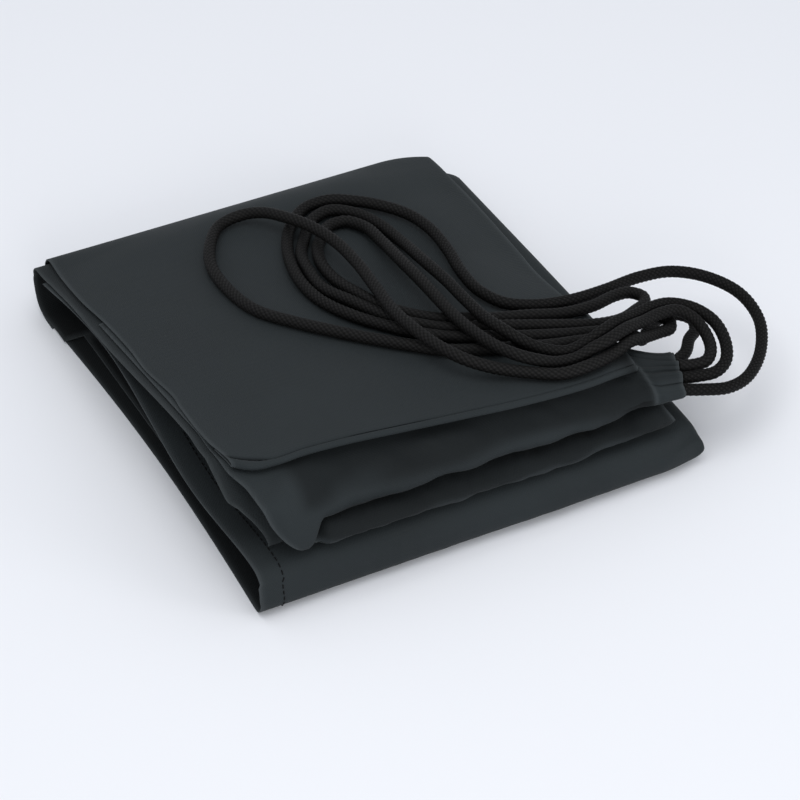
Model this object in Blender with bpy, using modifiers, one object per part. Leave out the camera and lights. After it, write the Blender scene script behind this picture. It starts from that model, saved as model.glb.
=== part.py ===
"""Drawcord sleeve of an agility tunnel, folded flat, with its two drawcords laid on top.

The packet is modelled in millimetres around the middle of its floor face, with +X towards
the gathered corner, -Y towards the rolled front and +Z up. It is two bodies: the lower fold
lies on the ground, and the upper fold opens backwards about the fold line along the back.
"""
import math

import bmesh
import bpy

MM = 0.001
COLLECTION = "agility_tunnel_sleeve"

# Driving dimensions, in millimetres
HALF_WIDTH = 117.5          # middle of the packet to the panels' side edges
BACK = 136.5                # outer face of the back fold
FOLD_HEIGHT = 20.0          # height of the fold line that the upper fold opens about
FOLD_GAP = 0.4              # half of the gap between the lower and upper plies at that line
PLY = 0.7                   # thickness of a ply of fabric
PLY_PITCH = 1.3             # from the middle of one ply to the next in a stack
LIP_ROOM = 2.2              # extra depth under the top panel's turned lip
CORD_RADIUS = 3.0
CORD_POINTS = 80
CORD_EVENNESS = 0.045       # the higher, the more evenly the points of a bending line lie
PLY_EVENNESS = 0.1
FRONT_KNOT = 7              # point of the lower fold's section where its floor ends
FLOOR_ROWS = 20             # rows of that section up to there
ORIGIN = (1.5, 3.3)         # middle of the outline, which the part's origin is set under

# Heights of the top panel, back to front, down the left edge, the middle and the right edge
ROOF_Y = (116.0, 85.0, 40.0, -10.0, -60.0)
ROOF_LEFT = (29.5, 36.5, 43.0, 50.0, 57.0, 59.5)
ROOF_MIDDLE = (38.5, 41.5, 46.5, 52.0, 57.5, 61.5)
ROOF_RIGHT = (30.0, 31.0, 32.5, 35.0, 42.0, 48.0)

# Route of each drawcord, in millimetres, from where it leaves the gathered mouth to where it
# goes back in
DRAWCORD_A = (
    (113, -112.8, 37.5), (124, -115.5, 35.5), (138, -116, 32), (153, -110, 29), (172, -93, 27),
    (185, -71, 27), (187, -49, 28), (178, -33, 30), (163, -25, 33), (143, -26, 37),
    (118, -33, 42), (96, -38, 46.8), (77, -37, 49.6), (63, -30, 51), (57, -16, 51),
    (58, 4, 49), (63, 28, 46), (65, 50, 44), (62, 67, 43), (53, 80, 43.3), (42, 90, 43.6),
    (31, 96, 43.9), (17, 95, 44.2), (3, 83, 45.2), (-8, 65, 47.5), (-15, 45, 50), (-18, 26, 52),
    (-17, 8, 54), (-11, -10, 56), (-1, -26, 57), (9, -39, 58), (21, -49, 58),
    (35, -56, 58), (50, -62, 57), (66, -67, 55.5), (82, -71, 53.8), (98, -73, 51.5),
    (112, -70, 47.5), (122, -64.5, 44.5), (129, -64.5, 43), (132.5, -70, 42.7),
    (129.5, -75.5, 43), (122, -78, 45),
    (111, -83, 49.5), (98, -89, 55.4), (84, -95, 56.5), (68, -100.5, 59.5), (53, -101, 60.5),
    (38, -94, 62), (23, -86, 65), (13, -78, 68), (7, -63, 68), (4, -45, 67), (4, -25, 64),
    (7, -2, 61), (10, 25, 58), (10, 49, 55.5), (5, 69, 54), (-1, 83, 52), (-7, 95, 49),
    (-15, 102, 45.8), (-28, 101, 44.3), (-40, 87, 45.6), (-49, 66, 47.5), (-51, 41, 50),
    (-48, 17, 53.3), (-38, -2, 56), (-26, -19, 58), (-13, -34, 59), (0, -48, 60),
    (13, -59, 60), (28, -66, 59.5), (44, -71, 58.5), (60, -75.5, 57.2), (76, -77.5, 55.3),
    (92, -80, 54), (101, -79.5, 52.3), (109, -77, 46), (117, -71, 37.5), (126, -62, 34),
    (136, -55, 32), (147, -54, 31), (152, -61, 31), (149, -69, 31), (141, -76, 33),
    (130, -89, 37), (118, -96, 39.3),
)
DRAWCORD_B = (
    (117, -106.6, 38.8), (125, -109, 38.8), (134, -110, 38.8), (143, -105, 39), (150, -93, 40.5),
    (152, -79, 42.5), (147, -69, 45), (137, -64, 48), (125, -66, 51.5), (112, -71, 54.5),
    (98, -77, 59.2), (84, -83.5, 61.5), (75, -85, 59.5), (65, -85, 58.5), (55, -81, 60.5),
    (47, -75, 64), (42, -66, 66), (40, -50, 64), (40, -32, 62), (41, -11, 59.5),
    (42, 17, 54.5), (45, 46, 46.5), (43, 67, 44.4), (37, 80, 44), (27, 87, 44.4), (14, 82, 45.2),
    (3, 68, 46), (-6, 53, 49), (-10, 35, 51), (-11, 18, 53), (-5, 1, 55), (3, -17, 56),
    (12, -31, 57), (25, -42, 57), (40, -48, 57), (54, -53, 55.8), (66, -57, 54.5),
    (78, -61.5, 53.5), (90, -65, 52), (100, -66, 50.5), (111, -63, 47.5), (121, -57.5, 45),
    (129, -52.5, 43), (132, -46, 42), (128, -40.5, 42), (119, -41, 43.5), (102, -47, 46.8),
    (84, -49, 50), (66, -46, 53), (51, -42, 54), (38, -37, 55), (26, -31, 55),
    (16, -22, 55), (7, -10, 55), (1, 7, 54), (-2, 23, 52), (-1, 40, 50), (4, 55, 48),
    (12, 66, 46), (20, 74, 45), (29, 74, 45), (35, 64, 46), (35, 45, 49), (32, 19, 55),
    (30, -7, 59.5), (29, -25, 61.5), (28, -43, 63.7), (29, -60, 65.5), (32, -76, 67),
    (38, -87, 67), (46, -91.5, 64.5), (56, -92, 60), (67, -92, 58.8), (76, -91.5, 61),
    (84, -90.5, 62), (98, -84.5, 60), (112, -78, 55), (125, -73, 52), (136, -71.5, 49),
    (142.5, -76, 45), (143.5, -85, 42.5), (140, -96, 41), (133, -103, 41), (126, -103, 41),
    (118, -101.2, 42),
)


def clear_scene():
    for item in list(bpy.data.objects):
        bpy.data.objects.remove(item)


def make_collection():
    collection = bpy.data.collections.new(COLLECTION)
    bpy.context.scene.collection.children.link(collection)
    return collection


def make_material(name, colour, roughness):
    material = bpy.data.materials.new(name)
    material.use_nodes = True
    shader = material.node_tree.nodes["Principled BSDF"]
    shader.inputs["Base Color"].default_value = (*colour, 1.0)
    shader.inputs["Roughness"].default_value = roughness
    shader.inputs["Metallic"].default_value = 0.0
    return material


def make_empty(collection, name, location, parent=None):
    empty = bpy.data.objects.new(name, None)
    empty.location = [MM * value for value in location]
    empty.parent = parent
    collection.objects.link(empty)
    return empty


# Curves and sections

def smoothstep(low, high, value):
    share = min(1.0, max(0.0, (value - low) / (high - low)))
    return share * share * (3.0 - 2.0 * share)


def across(left, middle, right, x):
    """Value at x of the parabola through its values at the left edge, the middle and the right."""
    share = x / HALF_WIDTH
    return (share * (share - 1.0) / 2.0 * left + (1.0 - share * share) * middle
            + share * (share + 1.0) / 2.0 * right)


def smooth_line(points, steps=12):
    """A smooth curve through every point, as a fine polyline."""
    size = len(points[0])
    knots = [0.0]
    for start, end in zip(points, points[1:]):
        knots.append(knots[-1] + math.sqrt(math.dist(start, end)))
    rates = []
    for index in range(len(points) - 1):
        span = knots[index + 1] - knots[index]
        rates.append([(points[index + 1][k] - points[index][k]) / span for k in range(size)])
    slopes = [rates[0]]
    for index in range(1, len(rates)):
        before = knots[index] - knots[index - 1]
        after = knots[index + 1] - knots[index]
        slopes.append([(rates[index - 1][k] * after + rates[index][k] * before) / (before + after)
                       for k in range(size)])
    slopes.append(rates[-1])
    line = []
    for index in range(len(points) - 1):
        span = knots[index + 1] - knots[index]
        for step in range(steps):
            line.append(hermite(points[index], points[index + 1], slopes[index],
                                slopes[index + 1], span, step / steps))
    line.append(tuple(points[-1]))
    return line


def hermite(start, end, slope_in, slope_out, span, share):
    square = share * share
    cube = square * share
    return tuple((2 * cube - 3 * square + 1) * a + (cube - 2 * square + share) * span * m
                 + (3 * square - 2 * cube) * b + (cube - square) * span * n
                 for a, b, m, n in zip(start, end, slope_in, slope_out))


def lengths_along(line):
    total = [0.0]
    for start, end in zip(line, line[1:]):
        total.append(total[-1] + math.dist(start, end))
    return total


def point_at(line, marks, mark):
    """The point of the line where the running measure in marks reaches mark."""
    index = 1
    while index < len(marks) - 1 and marks[index] < mark:
        index += 1
    share = (mark - marks[index - 1]) / (marks[index] - marks[index - 1])
    return tuple(a + (b - a) * share for a, b in zip(line[index - 1], line[index]))


def spaced(line, count):
    marks = lengths_along(line)
    return [point_at(line, marks, marks[-1] * index / (count - 1)) for index in range(count)]


def bend_spaced(line, count, evenness):
    """Points along the line, closer together where it bends."""
    marks = [0.0]
    for index in range(1, len(line)):
        before = line[max(0, index - 2)]
        after = line[min(len(line) - 1, index + 1)]
        run = math.dist(line[index - 1], line[index])
        bend = turn_between(before, line[index - 1], line[index], after)
        marks.append(marks[-1] + run * (evenness + math.sqrt(bend / max(run, 0.01))))
    return [point_at(line, marks, marks[-1] * index / (count - 1)) for index in range(count)]


def turn_between(first, second, third, fourth):
    """Half of the angle between the runs on either side of the middle one, in radians."""
    before = [b - a for a, b in zip(first, second)]
    after = [b - a for a, b in zip(third, fourth)]
    size = math.hypot(*before) * math.hypot(*after)
    if size == 0.0:
        return 0.0
    cosine = sum(a * b for a, b in zip(before, after)) / size
    return math.acos(max(-1.0, min(1.0, cosine))) / 2.0


def back_edge(x):
    """The back fold bends forward towards the right corner."""
    return BACK - 17.0 * max(0.0, (x - 78.0) / 40.0) ** 2.2


def lip_edge(x):
    return across(-101.0, -109.5, -104.0, x)


def lip_height(x):
    return across(ROOF_LEFT[-1], ROOF_MIDDLE[-1], ROOF_RIGHT[-1], x)


def roof_line(x, count):
    """The top panel's outer face, from the fold line up and forward to its lip."""
    back = back_edge(x)
    heights = [across(*trio, x) for trio in zip(ROOF_LEFT, ROOF_MIDDLE, ROOF_RIGHT)]
    points = [(back - 0.3, FOLD_HEIGHT + FOLD_GAP), (back, 25.0), (back - 4.0, 30.0)]
    points += list(zip(ROOF_Y, heights))
    points[3] = (min(ROOF_Y[0], back - 10.0), heights[0])
    points.append((lip_edge(x) + 5.0, heights[-1]))
    return bend_spaced(smooth_line(points), count, PLY_EVENNESS)


def inset(line, depths):
    """The line moved in by a depth at each point, square to its run."""
    moved = []
    for index, (y, z) in enumerate(line):
        before = line[max(0, index - 1)]
        after = line[min(len(line) - 1, index + 1)]
        run_y = after[0] - before[0]
        run_z = after[1] - before[1]
        size = math.hypot(run_y, run_z)
        moved.append((y - run_z / size * depths[index], z + run_y / size * depths[index]))
    return moved


def stacked_roof(x, count, ply):
    """The roof line sunk by whole plies, and by more where the top panel's lip turns under."""
    line = roof_line(x, count)
    depth = PLY / 2 + ply * PLY_PITCH
    room = LIP_ROOM if ply else 0.0
    lip = lip_edge(x)
    return inset(line, [depth + room * smoothstep(lip + 32.0, lip + 18.0, y) for y, z in line])


def top_section(x):
    lip = lip_edge(x)
    height = lip_height(x)
    turn = [(lip + 1.0, height - 0.5), (lip + PLY / 2, height - 1.45),
            (lip + 1.0, height - 2.4), (lip + 14.0, height - 2.6)]
    return stacked_roof(x, 24, 0) + spaced(smooth_line(turn), 6)


def roll_height(x):
    """Underside of the rolled front; its left end droops into a lobe."""
    return across(36.0, 36.0, 29.0, x) - 8.5 * smoothstep(-84.0, -93.0, x)


def roll_section(x):
    """From under the top panel, round the front of the roll and back inside."""
    nose = across(-119.0, -120.0, -116.0, x) + 6.0 * smoothstep(95.0, 112.0, x)
    high = lip_height(x) - 4.5
    low = roll_height(x)
    middle = (high + low) / 2
    radius = (high - low) / 2
    turn = [(nose + 7.0, high - 1.4), (nose + 1.7, middle + 0.55 * radius),
            (nose + 0.4, middle - 0.1 * radius), (nose + 2.6, low + 0.35 * radius),
            (nose + 9.0, low), (-60.0, low + 2.0)]
    return stacked_roof(x, 24, 1)[12:] + spaced(smooth_line(turn), 12)


def under_section(x):
    """Third ply: inside the roll, except at its left end, where it turns down at the front."""
    end = smoothstep(-98.0, -107.0, x)
    low = roll_height(max(x, -84.0)) + 4.6
    high = lip_height(x) - 6.2
    low += (26.2 - low) * end
    nose = across(-113.5, -114.5, -109.0, x) - 4.6 * end
    middle = (high + low) / 2
    radius = (high - low) / 2
    turn = [(nose + 6.0, high - 1.5), (nose + 1.2, middle + 0.5 * radius),
            (nose, middle - 0.2 * radius), (nose + 2.2, low + 0.3 * radius),
            (nose + 8.0, low), (nose + 18.0, low + 0.2)]
    return stacked_roof(x, 24, 2) + spaced(smooth_line(turn), 9)


def channel_section(x):
    """The drawcord channel, the smaller roll under the front."""
    high = across(34.2, 34.4, 27.6, x)
    low = across(25.7, 25.3, 20.6, x)
    nose = across(-126.5, -126.0, -119.5, x) + 4.0 * smoothstep(90.0, 104.0, x)
    middle = (high + low) / 2
    turn = [(-60.0, high), (-106.0, high), (nose + 5.0, high - 1.1), (nose, middle + 0.4),
            (nose + 3.0, low + 0.8), (-112.0, low), (-60.0, low)]
    return spaced(smooth_line(turn), 18)


def side_closure(x):
    """Share of its height that the lower fold keeps towards its rounded right side."""
    reach = min(1.0, max(0.0, (x - 106.0) / 12.3))
    return max(0.1, math.sqrt(1.0 - reach * reach))


def base_section(x):
    """From the fold line down the back, forward on the ground, up the front and back inside."""
    back = back_edge(x)
    close = side_closure(x)
    heights = [across(*trio, x) * close for trio in (
        (24.5, 24.0, 18.6), (24.5, 24.0, 18.8), (31.0, 26.0, 19.0), (35.0, 27.0, 19.4),
        (31.0, 30.0, 19.4), (25.0, 29.5, 19.4))]
    points = [(back - PLY, FOLD_HEIGHT - FOLD_GAP), (back - 2.0, 12.0), (back - 5.2, 5.0),
              (back - 11.0, 1.2), (back - 22.0, PLY / 2), (60.0, PLY / 2), (-40.0, PLY / 2),
              (-118.0, PLY / 2), (-124.8, 1.3), (-127.9, 5.5 * close), (-128.1, 12.5 * close),
              (-126.4, heights[0] - 5.0 * close), (-121.5, heights[0] - 0.9 * close)]
    points += list(zip((-112.0, -60.0, -10.0, 40.0, 85.0, back - 16.0), heights))
    line = smooth_line(points)
    corner = line.index(points[FRONT_KNOT])
    rows = (bend_spaced(line[:corner + 1], FLOOR_ROWS, PLY_EVENNESS)
            + bend_spaced(line[corner:], 38, PLY_EVENNESS)[1:])
    return [(y, max(z, PLY / 2)) for y, z in rows]


def lining_section(x):
    """Inner ply of the lower fold, down the back and forward on the outer ply."""
    line = base_section(x)[:FLOOR_ROWS - 1]
    return inset(line, [-PLY_PITCH] * len(line))


# Edges of the plies, as X at a point of the section

def top_edges(y, z):
    return -110.0 - 0.6 * math.sin(y / 17.0), 102.0 - 3.0 * smoothstep(-60.0, -105.0, y)


def roll_edges(y, z):
    slant = smoothstep(52.0, 25.0, z) if y < -60.0 else 0.0
    return -112.0 + 20.0 * slant, 88.0


def under_edges(y, z):
    slant = smoothstep(-95.0, -119.0, y)
    return -116.6 + 12.0 * slant, 88.0


def channel_edges(y, z):
    return -77.0, 101.0


def base_edges(y, z):
    bow = 5.0 * math.cos(math.pi * y / 270.0) if z < 10.0 else 0.0
    slip = 1.4 * math.sin(y / 31.0) if z > 18.0 else 0.0
    return -HALF_WIDTH + bow + slip, 118.2


def lining_edges(y, z):
    return -110.0, 76.0


# Pieces

def add_object(collection, name, data, material, parent):
    item = bpy.data.objects.new(name, data)
    data.materials.append(material)
    collection.objects.link(item)
    item.parent = parent
    return item


def shifted(point, parent):
    """A point of the packet, in metres, as its parent empty sees it."""
    if parent.parent is None:
        return [MM * value for value in point]
    return [MM * value - base for value, base in zip(point, parent.location)]


def make_ply(collection, name, section, edges, columns, material, parent):
    """A sheet of fabric: a grid laid on its sections, given its thickness by Solidify."""
    rows = len(section(0.0))
    mesh_data = bmesh.new()
    bmesh.ops.create_grid(mesh_data, x_segments=columns, y_segments=rows - 1, size=1.0)
    for vertex in mesh_data.verts:
        share = (vertex.co.x + 1.0) / 2.0
        row = round((vertex.co.y + 1.0) / 2.0 * (rows - 1))
        x = -HALF_WIDTH + 2.0 * HALF_WIDTH * share
        for step in range(3):
            y, z = section(x)[row]
            left, right = edges(y, z)
            x = left + (right - left) * share
        vertex.co = shifted((x, y, z), parent)
    mesh = bpy.data.meshes.new(name)
    mesh_data.to_mesh(mesh)
    mesh_data.free()
    mesh.shade_smooth()
    item = add_object(collection, name, mesh, material, parent)
    solid = item.modifiers.new("Thickness", "SOLIDIFY")
    solid.thickness = PLY * MM
    solid.offset = 0.0
    return item


def gather_ring(share, sides):
    """One ring of the gathered mouth, its pleats growing deeper towards the opening."""
    x = 90.0 + 30.5 * share
    middle_y = -97.0 - 7.0 * share * share
    middle_z = 38.2 + 0.4 * share
    wide = 18.5 + 3.0 * math.sin(math.pi * share) - 3.5 * share * share
    high = 6.0 + 3.5 * share
    ring = []
    for index in range(sides):
        angle = 2.0 * math.pi * index / sides
        pleat = 1.0 + (0.03 + 0.04 * share) * math.cos(9.0 * angle)
        slope = 3.0 * math.cos(angle) * (share - 0.6)
        ring.append((x + slope, middle_y + wide * pleat * math.cos(angle),
                     middle_z + high * pleat * math.sin(angle)))
    return ring


def make_gather(collection, name, material, parent):
    """The gathered mouth, a pleated tube open at both ends."""
    rings = 6
    sides = 36
    mesh_data = bmesh.new()
    loops = []
    for ring in range(rings):
        loops.append([mesh_data.verts.new(shifted(point, parent))
                      for point in gather_ring(ring / (rings - 1), sides)])
    for near, far in zip(loops, loops[1:]):
        for index in range(sides):
            after = (index + 1) % sides
            mesh_data.faces.new((near[index], near[after], far[after], far[index]))
    bmesh.ops.recalc_face_normals(mesh_data, faces=mesh_data.faces)
    mesh = bpy.data.meshes.new(name)
    mesh_data.to_mesh(mesh)
    mesh_data.free()
    mesh.shade_smooth()
    item = add_object(collection, name, mesh, material, parent)
    solid = item.modifiers.new("Thickness", "SOLIDIFY")
    solid.thickness = PLY * MM
    solid.offset = 0.0
    return item


def make_tube(collection, name, points, radius, resolution, material, parent):
    curve = bpy.data.curves.new(name, "CURVE")
    curve.dimensions = "3D"
    curve.bevel_depth = radius * MM
    curve.bevel_resolution = resolution
    curve.use_fill_caps = True
    spline = curve.splines.new("POLY")
    spline.points.add(len(points) - 1)
    for knot, point in zip(spline.points, points):
        knot.co = (*shifted(point, parent), 1.0)
    return add_object(collection, name, curve, material, parent)


def cord_line(route):
    return bend_spaced(smooth_line(route), CORD_POINTS, CORD_EVENNESS)


def hem_line():
    """The stitched hem runs up the front and back over the lower fold, beside its open end."""
    x = -104.7
    proud = PLY / 2 + 0.3 + 0.35
    line = base_section(x)[FLOOR_ROWS:FLOOR_ROWS + 22]
    outside = inset(line, [proud] * len(line))
    return [(x, y, z) for y, z in outside if y < -124.0 or z > 5.0]


def build():
    clear_scene()
    collection = make_collection()
    fabric = make_material("charcoal_fabric", (0.020, 0.026, 0.028), 0.82)
    lining = make_material("charcoal_fabric_inside", (0.018, 0.023, 0.025), 0.86)
    braid = make_material("black_braid", (0.016, 0.015, 0.015), 0.62)
    thread = make_material("black_thread", (0.012, 0.012, 0.013), 0.55)

    packet = make_empty(collection, "packet", (-ORIGIN[0], -ORIGIN[1], 0.0))
    fold = make_empty(collection, "fold_line", (0.0, BACK, FOLD_HEIGHT), packet)

    make_ply(collection, "base_panel", base_section, base_edges, 10, fabric, packet)
    make_ply(collection, "base_lining", lining_section, lining_edges, 6, lining, packet)
    make_tube(collection, "hem_stitching", hem_line(), 0.35, 1, thread, packet)
    make_ply(collection, "top_panel", top_section, top_edges, 12, fabric, fold)
    make_ply(collection, "roll_panel", roll_section, roll_edges, 10, fabric, fold)
    make_ply(collection, "under_panel", under_section, under_edges, 12, lining, fold)
    make_ply(collection, "channel_roll", channel_section, channel_edges, 8, fabric, fold)
    make_gather(collection, "gathered_mouth", fabric, fold)
    make_tube(collection, "drawcord_a", cord_line(DRAWCORD_A), CORD_RADIUS, 2, braid, fold)
    make_tube(collection, "drawcord_b", cord_line(DRAWCORD_B), CORD_RADIUS, 2, braid, fold)


build()
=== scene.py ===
"""Looks of the drawcord sleeve of an agility tunnel, folded flat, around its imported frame.

Shapes are worked out in millimetres around the middle of the packet's floor face, with +X
towards the gathered corner, -Y towards the rolled front and +Z up, then put in the frame's
metres by to_frame.
"""
import math

import bpy
import numpy as np
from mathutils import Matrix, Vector


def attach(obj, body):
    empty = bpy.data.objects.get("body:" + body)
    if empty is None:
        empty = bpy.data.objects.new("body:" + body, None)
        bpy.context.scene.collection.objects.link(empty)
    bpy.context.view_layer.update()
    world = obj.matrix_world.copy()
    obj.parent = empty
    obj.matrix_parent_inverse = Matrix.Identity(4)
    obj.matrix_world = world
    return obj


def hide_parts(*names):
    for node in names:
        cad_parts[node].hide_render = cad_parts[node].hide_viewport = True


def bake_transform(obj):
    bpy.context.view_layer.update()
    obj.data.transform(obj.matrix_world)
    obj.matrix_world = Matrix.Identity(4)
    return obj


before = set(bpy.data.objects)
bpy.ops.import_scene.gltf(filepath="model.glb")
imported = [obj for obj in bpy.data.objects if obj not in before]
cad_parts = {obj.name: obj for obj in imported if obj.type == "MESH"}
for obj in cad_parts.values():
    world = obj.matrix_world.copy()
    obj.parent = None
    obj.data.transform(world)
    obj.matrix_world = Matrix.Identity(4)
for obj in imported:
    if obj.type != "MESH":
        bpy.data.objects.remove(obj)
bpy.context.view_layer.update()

# Sizes of the packet, in millimetres

HALF_WIDTH = 117.5          # middle of the packet to the panels' side edges
BACK = 136.5                # outer face of the back fold
FOLD_HEIGHT = 20.0          # height of the fold line that the upper fold opens about
FOLD_GAP = 0.4              # half of the gap between the lower and upper plies at that line
PLY = 0.7                   # thickness of a ply of fabric
PLY_PITCH = 1.3             # from the middle of one ply to the next in a stack
LIP_ROOM = 2.2              # extra depth under the top panel's turned lip
BASE_START = 112.0          # Y on the ground where the lower fold's outer ply starts
MOUTH = 97.0                # where the gathered mouth is sewn to the roll
HEM_SEAM = -104.7           # the stitched hem beside the open left end
ORIGIN = (1.5, 3.3)         # middle of the outline, which the part's origin is under
RIGHT_SIDE = 120.0          # the lower fold's rounded right side
SIDE_ROUND = 112.5          # where that rounding starts
SIDE_HEIGHT = 9.4           # height of the middle of the rounding
SIDE_POWER = 3.6            # the higher, the boxier the rounding

# Roof of the upper fold: its heights at the left edge, the middle and the right edge

ROOF_Y = (116.0, 85.0, 40.0, -10.0, -60.0)
ROOF_LEFT = (30.6, 36.5, 43.0, 50.0, 57.0, 59.5)
ROOF_MIDDLE = (38.5, 41.5, 46.5, 52.0, 57.5, 61.5)
ROOF_RIGHT = (30.0, 31.0, 32.5, 35.0, 42.0, 48.0)

CHANNEL_TOP = (34.2, 34.4, 27.6)    # top of the drawcord channel, at the same three places

# Cords

CORD_RADIUS = 3.0
BRAID_PITCH = 3.0           # length of one crossing of the braid
BRAID_DEPTH = 0.5
CORD_SIDES = 32
CORD_STEP = 0.75            # from one ring of the tube to the next

# Fabric

YARN_PITCH = 0.75           # from one yarn of the weave to the next
BEAD_HEIGHT = 0.5           # roundness of the top panel's lip
GROOVE_WIDTH = 0.75         # seam behind the lip
WORN_EDGE = 1.6             # how far the pale wear reaches from an edge

# Grids of the sheets

RIM = 0.35                  # width of the rounded rim round a sheet
RIM_STEPS = np.array([0.0, 0.08, 0.3, 0.62, 1.0])
ROLL_ROWS = 190             # rows of the roll's section, and of the gathered mouth's
SHEET_ROWS = 110
LIP_ROWS = np.linspace(-9.0, 0.6, 22)
SETTLING_STEPS = 8          # halvings of the distance to a sheet's curved side edges
EVEN = 0.3                  # the higher, the more evenly the rows of a section lie
LESS_EVEN = 0.12


def to_frame(points):
    """Packet millimetres to the frame's metres."""
    return (np.asarray(points, float) - (ORIGIN[0], ORIGIN[1], 0.0)) * 0.001


# Camera

CAMERA_AZIMUTH = -27.3      # degrees round from the packet's front, towards its right
CAMERA_ELEVATION = 38.5     # degrees
CAMERA_DISTANCE = 1.4865    # metres from the middle of the packet's floor face
CAMERA_LENS = 135.0         # focal length, in millimetres
SENSOR_WIDTH = 36.0         # millimetres
CAMERA_SHIFT = (0.04875, -0.015)    # where the packet lies in the picture


def make_camera():
    azimuth = math.radians(CAMERA_AZIMUTH)
    elevation = math.radians(CAMERA_ELEVATION)
    data = bpy.data.cameras.new("camera")
    data.lens = CAMERA_LENS
    data.sensor_width = SENSOR_WIDTH
    data.shift_x, data.shift_y = CAMERA_SHIFT
    data.clip_start = 0.05
    data.clip_end = 20.0
    camera = bpy.data.objects.new("camera", data)
    bpy.context.scene.collection.objects.link(camera)
    back = Vector((math.sin(azimuth) * math.cos(elevation),
                   -math.cos(azimuth) * math.cos(elevation), math.sin(elevation)))
    camera.location = Vector(to_frame((0.0, 0.0, 0.0))) + CAMERA_DISTANCE * back
    camera.rotation_euler = back.to_track_quat("Z", "Y").to_euler()
    bpy.context.scene.camera = camera


make_camera()


# Curves

def smoothstep(low, high, value):
    share = np.clip((np.asarray(value, float) - low) / (high - low), 0.0, 1.0)
    return share * share * (3.0 - 2.0 * share)


def across(left, middle, right, x):
    """Value at x of the parabola through its values at the left edge, the middle and the right."""
    share = x / HALF_WIDTH
    return (share * (share - 1.0) / 2.0 * left + (1.0 - share * share) * middle
            + share * (share + 1.0) / 2.0 * right)


def smooth_line(points, steps=12):
    """A smooth curve through every point, as a fine polyline."""
    points = np.asarray(points, float)
    spans = np.sqrt(np.linalg.norm(np.diff(points, axis=0), axis=1))
    rates = np.diff(points, axis=0) / spans[:, None]
    slopes = (rates[:-1] * spans[1:, None] + rates[1:] * spans[:-1, None])
    slopes /= (spans[:-1] + spans[1:])[:, None]
    slopes = np.vstack([rates[:1], slopes, rates[-1:]])
    share = (np.arange(steps) / steps)[None, :, None]
    square = share * share
    cube = square * share
    span = spans[:, None, None]
    line = ((2 * cube - 3 * square + 1) * points[:-1, None]
            + (cube - 2 * square + share) * span * slopes[:-1, None]
            + (3 * square - 2 * cube) * points[1:, None]
            + (cube - square) * span * slopes[1:, None])
    return np.vstack([line.reshape(-1, points.shape[1]), points[-1:]])


def lengths_along(line):
    return np.concatenate([[0.0], np.cumsum(np.linalg.norm(np.diff(line, axis=0), axis=1))])


def points_at(line, at):
    arc = lengths_along(line)
    return np.stack([np.interp(at, arc, line[:, k]) for k in range(line.shape[1])], 1)


def bend_spaced(line, count, evenness, extra=()):
    """Points along the line, closer together where it bends, at its ends and where asked."""
    runs = np.diff(line, axis=0)
    size = np.maximum(np.linalg.norm(runs, axis=1), 1e-6)
    along = runs / size[:, None]
    before = np.vstack([along[:1], along[:-1]])
    after = np.vstack([along[1:], along[-1:]])
    bend = np.arccos(np.clip((before * after).sum(1), -1.0, 1.0)) / 2.0
    marks = np.concatenate([[0.0], np.cumsum(size * (evenness + np.sqrt(bend / size)))])
    arc = lengths_along(line)
    at = np.interp(np.linspace(0.0, marks[-1], count), marks, arc)
    ends = RIM_STEPS * RIM
    inner = 1.5 * RIM + at * (arc[-1] - 3.0 * RIM) / arc[-1]
    at = np.sort(np.concatenate([ends, inner, arc[-1] - ends[::-1], np.asarray(extra)]))
    return points_at(line, at)


LIP_LINE = smooth_line([(-119.0, -82.0), (-112.0, -88.0), (-103.5, -96.0), (-92.0, -98.4),
                        (-80.0, -98.6), (-59.0, -101.0), (-33.0, -105.0), (-4.0, -108.5),
                        (32.0, -110.8), (65.0, -109.0), (97.0, -102.0), (119.0, -98.0)])
TOP_LEFT = smooth_line([(-110.0, -111.0), (-84.0, -111.3), (-66.0, -113.4), (-35.0, -112.2),
                        (-23.0, -110.9), (5.0, -112.4), (26.0, -111.2), (54.0, -111.2),
                        (84.0, -112.7), (129.0, -110.6), (140.0, -110.6)])
TOP_RIGHT = smooth_line([(-112.0, 93.5), (-100.0, 94.6), (-85.0, 97.6), (-60.0, 98.6), (1.0, 98.8),
                         (22.0, 100.7), (75.0, 104.1), (100.0, 104.4), (122.0, 104.6),
                         (140.0, 104.0)])
ROLL_LOW = smooth_line([(-120.0, 36.0), (-40.0, 36.3), (0.0, 35.8), (40.0, 34.2), (60.0, 32.9),
                        (75.0, 32.7), (84.0, 34.2), (92.0, 36.2), (97.0, 37.4), (104.0, 38.0),
                        (120.0, 38.0)])
ROLL_LEFT = smooth_line([(20.0, -91.6), (25.0, -91.8), (28.2, -93.4), (31.4, -97.3),
                         (36.6, -102.2), (44.0, -106.6), (54.5, -110.4), (58.0, -112.6),
                         (62.0, -113.5)])


def inset(line, depths):
    """The line moved in by a depth at each point, square to its run."""
    run = np.vstack([line[1:2] - line[:1], line[2:] - line[:-2], line[-1:] - line[-2:-1]])
    run /= np.linalg.norm(run, axis=1)[:, None]
    side = np.stack([-run[:, 1], run[:, 0]], 1)
    return line + side * np.broadcast_to(depths, len(line))[:, None]


def soft_noise(u, v, seed):
    """A smooth random field of bumps about one unit across, from -1 to 1."""
    table = np.random.default_rng(seed).uniform(-1.0, 1.0, (64, 64))
    i = np.floor(u).astype(int)
    j = np.floor(v).astype(int)
    total = np.zeros(np.broadcast(u, v).shape)
    for row, weight_u in enumerate(spline_weights(u - i)):
        for column, weight_v in enumerate(spline_weights(v - j)):
            total += weight_u * weight_v * table[(i + row) % 64, (j + column) % 64]
    return 1.7 * total


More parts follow.
